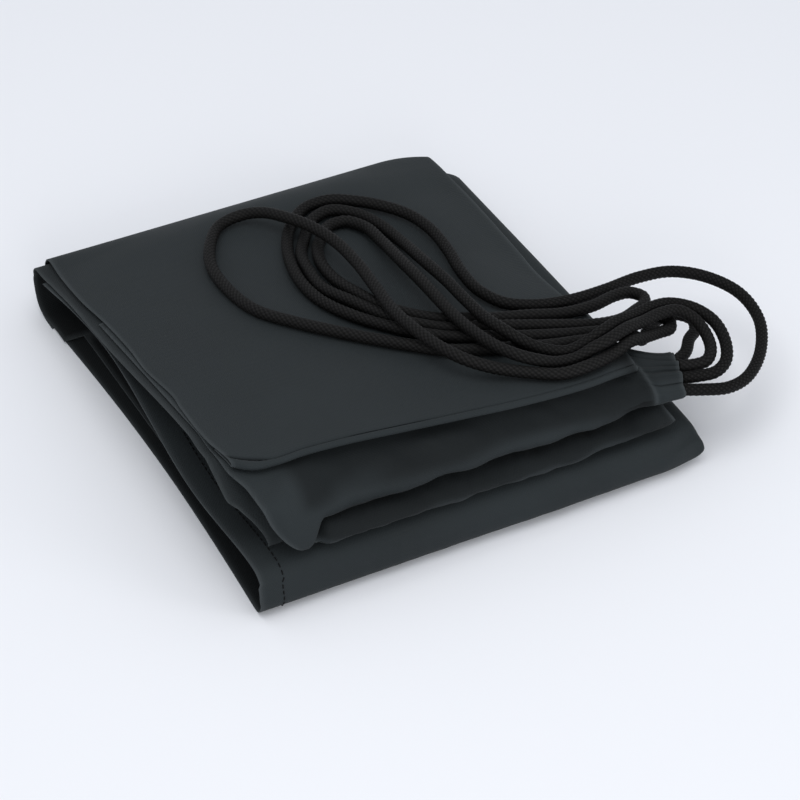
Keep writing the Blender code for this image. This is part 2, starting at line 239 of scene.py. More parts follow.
def spline_weights(t):
    return ((1 - t) ** 3 / 6, (3 * t ** 3 - 6 * t ** 2 + 4) / 6,
            (-3 * t ** 3 + 3 * t ** 2 + 3 * t + 1) / 6, t ** 3 / 6)


def roof_wave(x, y, z):
    """Slow waves that the stacked plies of the upper fold share, in millimetres outwards."""
    wave = 0.7 * soft_noise(x / 34.0, y / 40.0, 1) + 0.25 * soft_noise(x / 13.0, y / 15.0, 2)
    inside = smoothstep(-116.0, -104.0, x) * smoothstep(104.0, 92.0, x)
    return wave * inside * smoothstep(-98.0, -80.0, y) * smoothstep(132.0, 118.0, y) * (z > 24.0)


# Sections of the plies

def back_edge(x):
    """The back fold bends forward towards the right corner."""
    return BACK - 17.0 * max(0.0, (x - 78.0) / 40.0) ** 2.2


def lip_edge(x):
    """Front of the top panel's turned lip; at the left its corner is cut back."""
    return np.interp(x, LIP_LINE[:, 0], LIP_LINE[:, 1])


def lip_height(x):
    return (across(ROOF_LEFT[-1], ROOF_MIDDLE[-1], ROOF_RIGHT[-1], x)
            - 1.4 * smoothstep(76.0, 97.0, x))


def roof_line(x):
    """The top panel's outer face, from the fold line up and forward to its lip."""
    back = back_edge(x)
    heights = [across(*trio, x) for trio in zip(ROOF_LEFT, ROOF_MIDDLE, ROOF_RIGHT)]
    points = [(back - 0.3, FOLD_HEIGHT + FOLD_GAP), (back, 25.0), (back - 4.0, 30.0)]
    points += list(zip(ROOF_Y, heights))
    points[3] = (min(ROOF_Y[0], back - 10.0), heights[0])
    points.append((lip_edge(x) + 5.0, lip_height(x)))
    return smooth_line(points)


def stacked_roof(x, ply):
    """The roof line sunk by whole plies, and by more where the top panel's lip turns under."""
    line = roof_line(x)
    depth = PLY / 2 + ply * PLY_PITCH
    room = LIP_ROOM if ply else 0.0
    lip = lip_edge(x)
    return inset(line, depth + room * smoothstep(lip + 32.0, lip + 18.0, line[:, 0]))


def side_closure(x):
    """Share of its height that the lower fold keeps towards its rounded right side."""
    reach = min(1.0, max(0.0, (x - SIDE_ROUND) / (RIGHT_SIDE - SIDE_ROUND)))
    return (1.0 - reach ** SIDE_POWER) ** (1.0 / SIDE_POWER) - 0.04 * smoothstep(0.9, 1.0, reach)


def base_line(x):
    """From the fold line down the back, forward on the ground, up the front and back inside."""
    back = back_edge(x)
    close = side_closure(x)
    corner = smoothstep(98.0, RIGHT_SIDE, x)
    heights = [SIDE_HEIGHT + (across(*trio, x) - SIDE_HEIGHT) * close for trio in (
        (24.5, 24.0, 18.6), (24.5, 24.0, 18.8), (31.0, 26.0, 19.0), (35.0, 27.0, 19.4),
        (31.0, 30.0, 19.4), (25.0, 29.5, 19.4))]
    rise = SIDE_HEIGHT * (1.0 - close)
    floor = PLY / 2 * close + rise
    end = back - 16.0 + 12.0 * smoothstep(98.0, 106.0, x)
    behind = [SIDE_HEIGHT + (z - SIDE_HEIGHT) * close
              for z in (FOLD_HEIGHT - FOLD_GAP, 12.0, 5.0, 1.2)]
    tuck = back - 8.0 * (1.0 - close)
    points = [*zip((tuck - PLY, tuck - 2.0, tuck - 5.2, tuck - 11.0), behind),
              (tuck - 22.0, floor),
              (60.0, floor), (-40.0, floor), (-118.0 + 2.0 * corner, floor + 0.4 * corner * close),
              (-124.8 + 1.6 * corner, floor + (1.0 + 0.8 * corner) * close),
              (-127.9 + 2.2 * corner, rise + 5.5 * close),
              (-128.3 + 4.2 * corner, SIDE_HEIGHT + 2.9 * close),
              (-127.3 + 6.3 * corner, heights[0] - (6.4 - 1.8 * corner) * close),
              (-123.0 + 7.6 * corner, heights[0] - (1.7 - 0.5 * corner) * close)]
    points += list(zip((-112.0 + 4.0 * corner, -60.0, -10.0, 40.0, 85.0, end), heights))
    line = smooth_line(points)
    line[:, 1] = np.maximum(line[:, 1], PLY / 2)
    return line


def split_at_floor(line, y):
    """Where a base line crosses y on the ground."""
    low = np.where((line[:, 1] < 12.0) & (line[:, 0] < y))[0]
    return int(low[0])


def top_section(x):
    """From under the back of the packet, up round the back fold and over to the turned lip."""
    base = base_line(x)
    tail = base[:split_at_floor(base, BASE_START)][::-1]
    lip = lip_edge(x)
    height = lip_height(x)
    turn = [(lip + 1.0, height - 0.5), (lip + PLY / 2, height - 1.45),
            (lip + 1.0, height - 2.4), (lip + 4.0, height - 2.6), (lip + 14.0, height - 2.6)]
    roof = stacked_roof(x, 0)
    line = np.vstack([tail, roof[1:], smooth_line(turn)])
    front = lengths_along(line)[np.argmin(line[:, 0])]
    return bend_spaced(line, SHEET_ROWS, LESS_EVEN, front + LIP_ROWS)


def base_section(x):
    line = base_line(x)
    return bend_spaced(line[split_at_floor(line, BASE_START):], SHEET_ROWS, LESS_EVEN)


def lining_parts(x):
    line = base_line(x)
    start = split_at_floor(line, 104.0)
    front = split_at_floor(line, -116.0)
    return inset(line[:start + 1], -PLY_PITCH), inset(line[start:front], -PLY_PITCH)


def lining_section(x):
    return bend_spaced(lining_parts(x)[1], 30, LESS_EVEN)


def roll_height(x):
    """Underside of the rolled front, which rises to the gathered mouth."""
    low = np.interp(x, ROLL_LOW[:, 0], ROLL_LOW[:, 1])
    uneven = 0.9 * soft_noise(x / 17.0, 0.5, 41) + 0.5 * soft_noise(x / 6.5, 0.5, 43)
    return low + uneven * smoothstep(88.0, 70.0, x)


def mixed(first, second, shares):
    """Points on the way from the first to the second, by one share or a share for each."""
    first = np.array(first)
    return first + (np.array(second) - first) * np.reshape(shares, (-1, 1))


def roll_line(x):
    """From under the top panel, round the front of the roll and back inside.

    The roll is hollow under the lip, and at its left end it droops into a lobe.
    """
    nose = across(-119.0, -120.0, -116.0, x) + 6.0 * smoothstep(95.0, 112.0, x)
    lip = lip_edge(x)
    high = lip_height(x) - 4.5
    low = roll_height(x)
    middle = (high + low) / 2
    radius = (high - low) / 2
    roll = [(lip + 6.5, high - 2.4), (lip + 3.0 - 0.2 * (lip - nose), middle + 0.5 * radius),
            (nose + 1.3, middle - 0.05 * radius), (nose + 0.9, low + 0.5 * radius),
            (nose + 9.0, low), (-60.0, low + 2.0)]
    lobe = [(-107.0, high - 1.4), (-117.0, 52.5), (-120.5, 42.0), (-124.6, 30.5),
            (-119.0, 25.8), (-60.0, 34.0)]
    wide = float(smoothstep(-60.0, -104.0, x))
    narrow = float(smoothstep(-80.0, -91.0, x))
    shares = (wide, wide, 0.5 * (wide + narrow), narrow, narrow, narrow)
    turn = mixed(roll, lobe, shares)
    roof = stacked_roof(x, 1)
    start = 60.0 - 105.0 * smoothstep(56.0, 82.0, x)
    line = np.vstack([roof[(roof[:, 0] < start) & (roof[:, 0] > lip + 8.0)], smooth_line(turn)])
    return bend_spaced(line, ROLL_ROWS - 2 * len(RIM_STEPS), EVEN)


def mouth_ring(x):
    """The pleated ring that the roll's section draws in to at the gathered mouth."""
    turn = 2.0 * math.pi * np.linspace(0.004, 0.996, ROLL_ROWS)
    share = (x - 88.0) / 31.0
    boxy = 0.6 + 0.4 * smoothstep(0.0, 0.7, share)
    back = np.sign(np.cos(turn)) * np.abs(np.cos(turn)) ** boxy
    above = np.sign(np.sin(turn)) * np.abs(np.sin(turn)) ** boxy
    wide = 22.6 - 8.2 * smoothstep(0.0, 1.0, share)
    high = 8.0 - 0.9 * share
    fold = (0.75 * np.cos(21.0 * turn + 0.9 * np.sin(3.0 * turn + 1.0))
            + 0.25 * np.cos(33.0 * turn + 2.0 + 1.5 * share))
    top = smoothstep(3.1, 2.2, turn) * 0.9 + 0.1
    depth = smoothstep(-0.05, 0.4, share) * (0.75 + 0.25 * share) * top
    radial = 1.0 + depth * fold / np.hypot(wide * back, high * above)
    middle_y = -94.8 - 10.0 * smoothstep(0.0, 1.0, share)
    return np.stack([middle_y + wide * back * radial,
                     40.9 - 1.6 * share + high * above * radial], 1)


def roll_section(x):
    draw = float(smoothstep(84.0, 101.0, x))
    line = roll_line(min(x, 101.0))
    return line + (mouth_ring(x) - line) * draw if draw else line


def under_section(x):
    """Third ply: inside the roll, except at its left end, where it slopes down at the front."""
    end = float(smoothstep(-87.0, -97.0, x))
    low = across(36.0, 36.0, 31.0, x) + 4.8
    high = lip_height(x) - 6.2
    nose = -98.0
    middle = (high + low) / 2
    radius = (high - low) / 2
    inside = [(nose + 9.0, high - 3.5), (nose + 2.2, middle + 0.4 * radius),
              (nose, middle - 0.2 * radius), (nose + 2.2, low + 0.3 * radius),
              (nose + 8.0, low), (nose + 18.0, low + 0.2)]
    slope = [(-101.0, 43.8), (-105.6, 38.0), (-109.4, 32.5), (-112.0, 28.8),
             (-112.8, 27.2), (-112.0, 26.4)]
    roof = stacked_roof(x, 2)
    roof = roof[roof[:, 0] > lip_edge(x) + 8.0 + 2.0 * end]
    drop = np.clip((-76.0 - roof[:, 0]) / 20.0, 0.0, None) ** 2
    roof[:, 1] -= 8.3 * end * drop
    tail = lining_parts(x)[0][::-1]
    line = np.vstack([tail, roof[1:], smooth_line(mixed(inside, slope, end))])
    return bend_spaced(line, 100, EVEN)


def channel_section(x):
    """The drawcord channel, the smaller roll under the front."""
    high = across(*CHANNEL_TOP, x) + 4.6 * smoothstep(84.0, 100.0, x)
    uneven = 0.7 * soft_noise(x / 13.0, 0.5, 42) + 0.45 * soft_noise(x / 5.5, 0.5, 44)
    low = across(26.0, 25.6, 20.9, x) + uneven
    nose = across(-126.5, -126.0, -119.5, x) + 1.0 * smoothstep(96.0, 107.0, x)
    tuck = smoothstep(-79.0, -86.0, x)
    high -= 3.0 * tuck
    nose += 3.5 * tuck
    middle = (high + low) / 2
    turn = [(-60.0, high), (-106.0, high), (nose + 5.0, high - 1.1), (nose, middle + 0.4),
            (nose + 3.0, low + 0.8), (-112.0, low), (-60.0, low)]
    return bend_spaced(smooth_line(turn), 70, EVEN)


# Edges of the plies, as X at a point of the section

def top_edges(y, z):
    floor = smoothstep(5.0, 1.5, z)
    low = smoothstep(19.5, 11.0, z)
    left = np.interp(y, TOP_LEFT[:, 0], TOP_LEFT[:, 1])
    right = np.interp(y, TOP_RIGHT[:, 0], TOP_RIGHT[:, 1])
    return left + (-HALF_WIDTH - left) * floor, right + (RIGHT_SIDE - 0.2 - right) * low


def roll_edges(y, z):
    front = np.where((y < -50.0) & (z < 46.0), 1.0, smoothstep(-86.0, -104.0, y))
    left = -113.4 + (np.interp(z, ROLL_LEFT[:, 0], ROLL_LEFT[:, 1]) + 113.4) * front
    return left, np.full_like(y, MOUTH - 0.1)


def mouth_edges(y, _z):
    slant = np.interp(y, (-117.0, -90.0), (111.5, 120.5))
    return np.full_like(y, MOUTH), slant + 0.4 * np.sin(y / 1.3)


def under_edges(y, _z):
    slant = smoothstep(-95.0, -113.0, y)
    left = -117.2 - 0.5 * np.sin(y / 23.0) - 1.2 * smoothstep(112.0, 128.0, y)
    return left + 12.6 * slant, np.full_like(y, 88.0)


def channel_edges(y, z):
    return -77.0 - 9.4 * smoothstep(-104.0, -112.0, y), 106.5 - 0.6 * np.abs(z - 26.0)


def base_edges(y, z):
    bow = np.where(z < 10.0, 5.0 * np.cos(np.pi * y / 270.0), 0.0)
    slip = np.where(z > 18.0, 1.4 * np.sin(y / 31.0), 0.0)
    return -HALF_WIDTH + bow + slip, np.full_like(y, RIGHT_SIDE)


def lining_edges(y, _z):
    return np.full_like(y, -106.0), np.full_like(y, 76.0)


# Building sheets

def section_points(stops, table, x):
    """Y and Z of each row of the sections at a grid of X."""
    return [np.array([np.interp(x[row], stops, table[:, row, axis]) for row in range(len(x))])
            for axis in (0, 1)]


def lay_sheet(section, edges, columns):
    """Middle surface of a ply as a grid: rows along the section, columns from left to right."""
    stops = np.concatenate([np.linspace(-HALF_WIDTH - 1.5, 84.0, 80),
                            np.linspace(85.0, RIGHT_SIDE - 1.2, 52),
                            np.linspace(RIGHT_SIDE - 1.0, RIGHT_SIDE, 16)])
    table = np.array([section(x) for x in stops])
    rim_share = RIM_STEPS * RIM / (2 * HALF_WIDTH)
    inner = np.linspace(1.6 * RIM, 2 * HALF_WIDTH - 1.6 * RIM, columns) / (2 * HALF_WIDTH)
    shares = np.concatenate([rim_share, inner, 1.0 - rim_share[::-1]])
    rows = table.shape[1]
    x = np.tile(-HALF_WIDTH + 2 * HALF_WIDTH * shares, (rows, 1))
    for _ in range(SETTLING_STEPS):
        left, right = edges(*section_points(stops, table, x))
        x = (x + left + (right - left) * shares) / 2
    return np.stack([x, *section_points(stops, table, x)], -1)


def grid_normals(points):
    normals = np.cross(np.gradient(points, axis=1), np.gradient(points, axis=0))
    return normals / np.maximum(np.linalg.norm(normals, axis=-1, keepdims=True), 1e-9)


def edge_gaps(points):
    """Distance of each grid point from the sheet's left, right, first and last edges."""
    down = np.linalg.norm(np.diff(points, axis=0), axis=-1)
    arc = np.vstack([np.zeros(points.shape[1]), np.cumsum(down, axis=0)])
    side = np.linalg.norm(np.diff(points, axis=1), axis=-1)
    run = np.hstack([np.zeros((points.shape[0], 1)), np.cumsum(side, axis=1)])
    return run, run[:, -1:] - run, arc, arc[-1:] - arc


def rim_half(gaps, half):
    """Half thickness with rounded rims."""
    nearest = np.minimum.reduce(gaps)
    inside = np.clip(nearest / half, 0.0, 1.0)
    return half * np.sqrt(1.0 - (1.0 - inside) ** 2)


def add_mesh(name, vertices, faces, material, uv=None, wear_and_braid_shade=None, painted_shade=None):
    """A smooth mesh of quads, with its weave's coordinates, its wear (on a cord, the braid's
    relief, which paints shade between the strands) and its painted shade, if given.
    """
    mesh = bpy.data.meshes.new(name)
    faces = np.asarray(faces, dtype=np.int32)
    mesh.vertices.add(len(vertices))
    mesh.vertices.foreach_set("co", to_frame(vertices).ravel())
    mesh.loops.add(faces.size)
    mesh.loops.foreach_set("vertex_index", faces.ravel())
    mesh.polygons.add(len(faces))
    mesh.polygons.foreach_set("loop_start", np.arange(0, faces.size, 4, dtype=np.int32))
    if uv is not None:
        layer = mesh.uv_layers.new(name="weave")
        layer.data.foreach_set("uv", np.asarray(uv)[faces.ravel()].ravel())
    for label, values in (("wear_and_braid_shade", wear_and_braid_shade), ("painted_shade", painted_shade)):
        if values is not None:
            mesh.attributes.new(label, "FLOAT", "POINT").data.foreach_set("value", values)
    mesh.update(calc_edges=True)
    mesh.validate()
    mesh.shade_smooth()
    item = bpy.data.objects.new(name, mesh)
    bpy.context.scene.collection.objects.link(item)
    mesh.materials.append(material)
    return item


def quads(index):
    """The faces of a grid of vertex numbers."""
    return np.stack([index[:-1, :-1], index[:-1, 1:], index[1:, 1:], index[1:, :-1]],
                    -1).reshape(-1, 4)


def closed_sheet(name, points, material, wear_and_braid_shade, painted_shade):
    """A closed sheet: the grid's two faces, joined all round at its rounded rim."""
    run, _, arc, _ = gaps = edge_gaps(points)
    half = rim_half(gaps, PLY / 2)
    number = np.arange(half.size).reshape(half.shape)
    inner = np.zeros(half.shape, bool)
    inner[1:-1, 1:-1] = True
    other = number.copy()
    other[inner] = half.size + np.arange(inner.sum())
    out = grid_normals(points) * half[..., None]
    outside = np.where(inner[..., None], points + out, points)
    vertices = np.vstack([outside.reshape(-1, 3), (points - out)[inner]])
    faces = np.vstack([quads(number), quads(other)[:, ::-1]])
    uv = np.stack([run, arc], -1)
    uv = np.vstack([uv.reshape(-1, 2), uv[inner]])
    wear_and_braid_shade = np.concatenate([wear_and_braid_shade.ravel(), wear_and_braid_shade[inner]])
    # Every inner face gets full painted shade: its colour is darkened as if in shadow.
    painted_shade = np.concatenate([painted_shade.ravel(), np.ones(inner.sum())])
    return add_mesh(name, vertices, faces, material, uv, wear_and_braid_shade, painted_shade)


# Cords

DRAWCORD_A = (
    (113, -112.8, 37.5), (124, -115.5, 35.5), (138, -116, 32), (153, -110, 29), (172, -93, 27),
    (185, -71, 27), (187, -49, 28), (178, -33, 30), (163, -25, 33), (143, -26, 37),
    (118, -33, 42), (96, -38, 46.8), (77, -37, 49.6), (63, -30, 51), (57, -16, 51),
    (58, 4, 49), (63, 28, 46), (65, 50, 44), (62, 67, 43), (53, 80, 43.3), (42, 90, 43.6),
    (31, 96, 43.9), (17, 95, 44.2), (3, 83, 45.2), (-8, 65, 47.5), (-15, 45, 50), (-18, 26, 52),
    (-17, 8, 54), (-11, -10, 56), (-1, -26, 57), (9, -39, 58), (21, -49, 58),
    (35, -56, 58), (50, -62, 57), (66, -67, 55.5), (82, -71, 53.8), (98, -73, 51.5),
    (112, -70, 47.5), (122, -64.5, 44.5), (129, -64.5, 43), (132.5, -70, 42.7),
    (129.5, -75.5, 43), (122, -78, 45),
    (111, -83, 49.5), (98, -89, 55.4), (84, -95, 56.5), (68, -100.5, 59.5), (53, -101, 60.5),
    (38, -94, 62), (23, -86, 65), (13, -78, 68), (7, -63, 68), (4, -45, 67), (4, -25, 64),
    (7, -2, 61), (10, 25, 58), (10, 49, 55.5), (5, 69, 54), (-1, 83, 52), (-7, 95, 49),
    (-15, 102, 45.8), (-28, 101, 44.3), (-40, 87, 45.6), (-49, 66, 47.5), (-51, 41, 50),
    (-48, 17, 53.3), (-38, -2, 56), (-26, -19, 58), (-13, -34, 59), (0, -48, 60),
    (13, -59, 60), (28, -66, 59.5), (44, -71, 58.5), (60, -75.5, 57.2), (76, -77.5, 55.3),
    (92, -80, 54), (101, -79.5, 52.3), (109, -77, 46), (117, -71, 37.5), (126, -62, 34),
    (136, -55, 32), (147, -54, 31), (152, -61, 31), (149, -69, 31), (141, -76, 33),
    (130, -89, 37), (118, -96, 39.3),
)
DRAWCORD_B = (
    (117, -106.6, 38.8), (125, -109, 38.8), (134, -110, 38.8), (143, -105, 39), (150, -93, 40.5),
    (152, -79, 42.5), (147, -69, 45), (137, -64, 48), (125, -66, 51.5), (112, -71, 54.5),
    (98, -77, 59.2), (84, -83.5, 61.5), (75, -85, 59.5), (65, -85, 58.5), (55, -81, 60.5),
    (47, -75, 64), (42, -66, 66), (40, -50, 64), (40, -32, 62), (41, -11, 59.5),
    (42, 17, 54.5), (45, 46, 46.5), (43, 67, 44.4), (37, 80, 44), (27, 87, 44.4), (14, 82, 45.2),
    (3, 68, 46), (-6, 53, 49), (-10, 35, 51), (-11, 18, 53), (-5, 1, 55), (3, -17, 56),
    (12, -31, 57), (25, -42, 57), (40, -48, 57), (54, -53, 55.8), (66, -57, 54.5),
    (78, -61.5, 53.5), (90, -65, 52), (100, -66, 50.5), (111, -63, 47.5), (121, -57.5, 45),
    (129, -52.5, 43), (132, -46, 42), (128, -40.5, 42), (119, -41, 43.5), (102, -47, 46.8),
    (84, -49, 50), (66, -46, 53), (51, -42, 54), (38, -37, 55), (26, -31, 55),
    (16, -22, 55), (7, -10, 55), (1, 7, 54), (-2, 23, 52), (-1, 40, 50), (4, 55, 48),
    (12, 66, 46), (20, 74, 45), (29, 74, 45), (35, 64, 46), (35, 45, 49), (32, 19, 55),
    (30, -7, 59.5), (29, -25, 61.5), (28, -43, 63.7), (29, -60, 65.5), (32, -76, 67),
    (38, -87, 67), (46, -91.5, 64.5), (56, -92, 60), (67, -92, 58.8), (76, -91.5, 61),
    (84, -90.5, 62), (98, -84.5, 60), (112, -78, 55), (125, -73, 52), (136, -71.5, 49),
    (142.5, -76, 45), (143.5, -85, 42.5), (140, -96, 41), (133, -103, 41), (126, -103, 41),
    (118, -101.2, 42),
)


def braid_relief(angle, along):
    """Height of a round braid's crossing strands, from 0 to 1."""
    turn = 4.0 * angle
    rise = math.pi * along / BRAID_PITCH
    return np.sqrt(np.abs(np.sin(turn + rise) * np.sin(turn - rise)))


def carried_frames(line):
    """Two directions square to the line at each point, carried along without twist."""
    run = np.gradient(line, axis=0)
    run /= np.linalg.norm(run, axis=1)[:, None]
    first = np.cross(run[0], (0.0, 0.0, 1.0))
    sides = []
    for along in run:
        first = first - along * (first @ along)
        first /= np.linalg.norm(first)
        sides.append(first)
    sides = np.array(sides)
    return sides, np.cross(run, sides)


def tube_quads(number):
    """The faces of a tube, from the vertex numbers of its rings."""
    return quads(np.hstack([number, number[:, :1]]))


def ring_cap(centre, ring):
    """Faces from a centre to each pair of a ring's sides."""
    after = np.roll(ring, -1)
    return [(centre, ring[k], after[k], after[k + 1]) for k in range(0, len(ring), 2)]


def cord_surface(line, along):
    """Points of the tube round a line, their weave coordinates and the braid's height there."""
    sides, uppers = carried_frames(line)
    angle = 2.0 * math.pi * np.arange(CORD_SIDES) / CORD_SIDES
    relief = braid_relief(angle[None], along[:, None])
    radius = CORD_RADIUS - 0.76 * BRAID_DEPTH + BRAID_DEPTH * relief
    radius += 0.05 * soft_noise(along[:, None] / 9.0, angle[None], 5)
    points = (line[:, None] + sides[:, None] * (radius * np.cos(angle))[..., None]
              + uppers[:, None] * (radius * np.sin(angle))[..., None])
    uv = np.stack(np.broadcast_arrays(angle[None] * CORD_RADIUS, along[:, None]), -1)
    return points.reshape(-1, 3), uv.reshape(-1, 2), relief.ravel()


def make_cord(name, route, material):
    """A braided cord: a round tube along its route, with the braid standing out of it."""
    line = smooth_line(route, 24)
    length = lengths_along(line)[-1]
    along = np.linspace(0.0, length, int(length / CORD_STEP) + 1)
    line = points_at(line, along)
    points, uv, relief = cord_surface(line, along)
    number = np.arange(len(points)).reshape(-1, CORD_SIDES)
    first_cap = [(centre, *ring[::-1]) for centre, *ring in ring_cap(len(points), number[0])]
    last_cap = ring_cap(len(points) + 1, number[-1])
    faces = np.vstack([tube_quads(number), first_cap, last_cap])
    vertices = np.vstack([points, line[:1], line[-1:]])
    uv = np.vstack([uv, [[0.0, 0.0], [0.0, length]]])
    # The braid's relief is stored as the attribute that paints shade between the strands.
    wear_and_braid_shade = np.concatenate([relief, [0.0, 0.0]])
    item = add_mesh(name + "_braid", vertices, faces, material, uv, wear_and_braid_shade)
    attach(item, "upper_fold")
    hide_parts(name)


# Materials, with their colours in linear light

CHARCOAL = (0.0180, 0.0222, 0.0240)
CHARCOAL_WORN = (0.046, 0.053, 0.056)
# Inside plies: the same charcoal painted a little darker, as shade.
INSIDE_SHADED = (0.0150, 0.0182, 0.0196)
INSIDE_SHADED_WORN = (0.040, 0.046, 0.048)
# Painted shade for the gaps between the braid's strands
STRAND_GAP_SHADE = (0.0006, 0.0006, 0.0006)
STRAND = (0.0120, 0.0115, 0.0112)
STRAND_FIBRES = (0.030, 0.029, 0.028)
THREAD_DARK = (0.0016, 0.0016, 0.0018)
THREAD_PALE = (0.0045, 0.0045, 0.005)
FLOOR_COLOUR = (0.82, 0.83, 0.86)
WORLD_COLOUR = (0.92, 0.95, 1.0)


class Nodes:
    """Short ways to add and link shader nodes."""

    def __init__(self, name):
        self.material = bpy.data.materials.new(name)
        self.material.use_nodes = True
        self.tree = self.material.node_tree
        self.shader = self.tree.nodes["Principled BSDF"]

    def link(self, value, socket):
        if isinstance(value, (int, float)):
            socket.default_value = value
        elif isinstance(value, tuple):
            socket.default_value = (*value, 1.0)[:len(socket.default_value)]
        else:
            self.tree.links.new(value, socket)

    def math(self, operation, *values):
        node = self.tree.nodes.new("ShaderNodeMath")
        node.operation = operation
        for value, socket in zip(values, node.inputs):
            self.link(value, socket)
        return node.outputs[0]

    def noise(self, vector, scale, detail=2.0):
        node = self.tree.nodes.new("ShaderNodeTexNoise")
        node.inputs["Scale"].default_value = scale
        node.inputs["Detail"].default_value = detail
        self.tree.links.new(vector, node.inputs["Vector"])
        return node.outputs["Fac"]

    def scaled(self, vector, x, y):
        node = self.tree.nodes.new("ShaderNodeMapping")
        node.inputs["Scale"].default_value = (x, y, 1.0)
        self.tree.links.new(vector, node.inputs["Vector"])
        return node.outputs[0]

    def ramp(self, value, low, high, to_low, to_high):
        node = self.tree.nodes.new("ShaderNodeMapRange")
        self.link(value, node.inputs["Value"])
        for name, number in (("From Min", low), ("From Max", high), ("To Min", to_low),
                             ("To Max", to_high)):
            node.inputs[name].default_value = number
        return node.outputs[0]

    def mix(self, share, first, second):
        node = self.tree.nodes.new("ShaderNodeMix")
        node.data_type = "RGBA"
        self.link(share, node.inputs["Factor"])
        first_colour, second_colour = [socket for socket in node.inputs if socket.type == "RGBA"]
        self.link(first, first_colour)
        self.link(second, second_colour)
        return next(socket for socket in node.outputs if socket.type == "RGBA")

    def bump(self, height, strength, distance, normal=None):
        node = self.tree.nodes.new("ShaderNodeBump")
        node.inputs["Strength"].default_value = strength
        node.inputs["Distance"].default_value = distance
        self.tree.links.new(height, node.inputs["Height"])
        if normal:
            self.tree.links.new(normal, node.inputs["Normal"])
        return node.outputs[0]

    def uv(self):
        node = self.tree.nodes.new("ShaderNodeUVMap")
        node.uv_map = "weave"
        return node.outputs[0]

    def place(self):
        return self.tree.nodes.new("ShaderNodeTexCoord").outputs["Object"]

    def attribute(self, name):
        node = self.tree.nodes.new("ShaderNodeAttribute")
        node.attribute_name = name
        return node.outputs["Fac"]

    def parts(self, vector):
        node = self.tree.nodes.new("ShaderNodeSeparateXYZ")
        self.tree.links.new(vector, node.inputs[0])
        return node.outputs[0], node.outputs[1]

    def finish(self, colour, roughness, normal, **fixed):
        self.link(colour, self.shader.inputs["Base Color"])
        self.link(roughness, self.shader.inputs["Roughness"])
        if normal:
            self.tree.links.new(normal, self.shader.inputs["Normal"])
        for name, value in fixed.items():
            self.link(value, self.shader.inputs[name.replace("_", " ")])
        return self.material


def shaded(colour, share):
    """The colour made darker, or paler when the share is above 1."""
    return tuple(share * part for part in colour)


def fabric_material(name, colour, worn):
    """Plain-woven nylon: crossing yarns of uneven thickness, a soft sheen, paler wear and painted
    shade.
    """
    nodes = Nodes(name)
    uv = nodes.uv()
    place = nodes.place()
    u, v = nodes.parts(uv)
    rate = math.pi / YARN_PITCH
    weave = nodes.math("MULTIPLY", nodes.math("SINE", nodes.math("MULTIPLY", u, rate)),
                       nodes.math("SINE", nodes.math("MULTIPLY", v, rate)))
    warp = nodes.noise(nodes.scaled(uv, 1.3, 0.05), 1.0)
    weft = nodes.noise(nodes.scaled(uv, 0.05, 1.3), 1.0)
    yarn = nodes.math("ADD", warp, weft)
    broad = nodes.noise(place, 14.0, 4.0)
    wear_and_braid_shade = nodes.attribute("wear_and_braid_shade")
    pale = shaded(colour, 1.16)
    tone = nodes.mix(nodes.ramp(broad, 0.3, 0.7, 0.0, 1.0), shaded(colour, 0.86), pale)
    tone = nodes.mix(nodes.ramp(yarn, 0.7, 1.3, 0.0, 0.25), tone, pale)
    # Painted shade: the colour darkens towards 0.12 of itself in the hollows and on inner faces,
    # as shadow.
    tone = nodes.mix(nodes.math("MULTIPLY", nodes.attribute("painted_shade"), 0.72), tone,
                     shaded(colour, 0.12))
    tone = nodes.mix(nodes.math("MULTIPLY", wear_and_braid_shade, nodes.ramp(warp, 0.3, 0.7, 0.5, 1.0)),
                     tone, worn)
    rough = nodes.ramp(broad, 0.3, 0.7, 0.62, 0.74)
    normal = nodes.bump(yarn, 0.25, 0.0002)
    normal = nodes.bump(weave, 0.35, 0.00012, normal)
    return nodes.finish(tone, rough, normal, Sheen_Weight=0.03, Sheen_Roughness=0.5,
                        Specular_IOR_Level=0.10, Metallic=0.0)


def braid_material(name):
    """Black braid: painted shade between the strands, the strand colour on their crowns, with fine
    fibres.
    """
    nodes = Nodes(name)
    uv = nodes.uv()
    relief = nodes.attribute("wear_and_braid_shade")
    fine = nodes.noise(nodes.scaled(uv, 4.0, 4.0), 1.0, 3.0)
    # Painted shade: the gaps between the strands are near-black, as if in shadow.
    tone = nodes.mix(nodes.ramp(relief, 0.45, 0.95, 0.0, 1.0), STRAND_GAP_SHADE, STRAND)
    tone = nodes.mix(nodes.ramp(fine, 0.45, 0.8, 0.0, 0.3), tone, STRAND_FIBRES)
    normal = nodes.bump(fine, 0.5, 0.0003)
    return nodes.finish(tone, nodes.ramp(relief, 0.0, 1.0, 0.85, 0.5), normal,
                        Sheen_Weight=0.0, Sheen_Roughness=0.4, Specular_IOR_Level=0.12)


def thread_material(name):
    nodes = Nodes(name)
    fine = nodes.noise(nodes.place(), 2500.0)
    tone = nodes.mix(fine, THREAD_DARK, THREAD_PALE)
    return nodes.finish(tone, nodes.ramp(fine, 0.3, 0.7, 0.45, 0.6),
                        nodes.bump(fine, 0.3, 0.0001), Specular_IOR_Level=0.1)


FABRIC = fabric_material("charcoal_fabric", CHARCOAL, CHARCOAL_WORN)
# A darker copy of the charcoal fabric, as painted shade on the inside plies.
SHADED_LINING = fabric_material("charcoal_fabric_inside", INSIDE_SHADED, INSIDE_SHADED_WORN)
BRAID = braid_material("black_braid")
THREAD = thread_material("black_thread")

make_cord("drawcord_a", DRAWCORD_A, BRAID)
make_cord("drawcord_b", DRAWCORD_B, BRAID)


# Plies


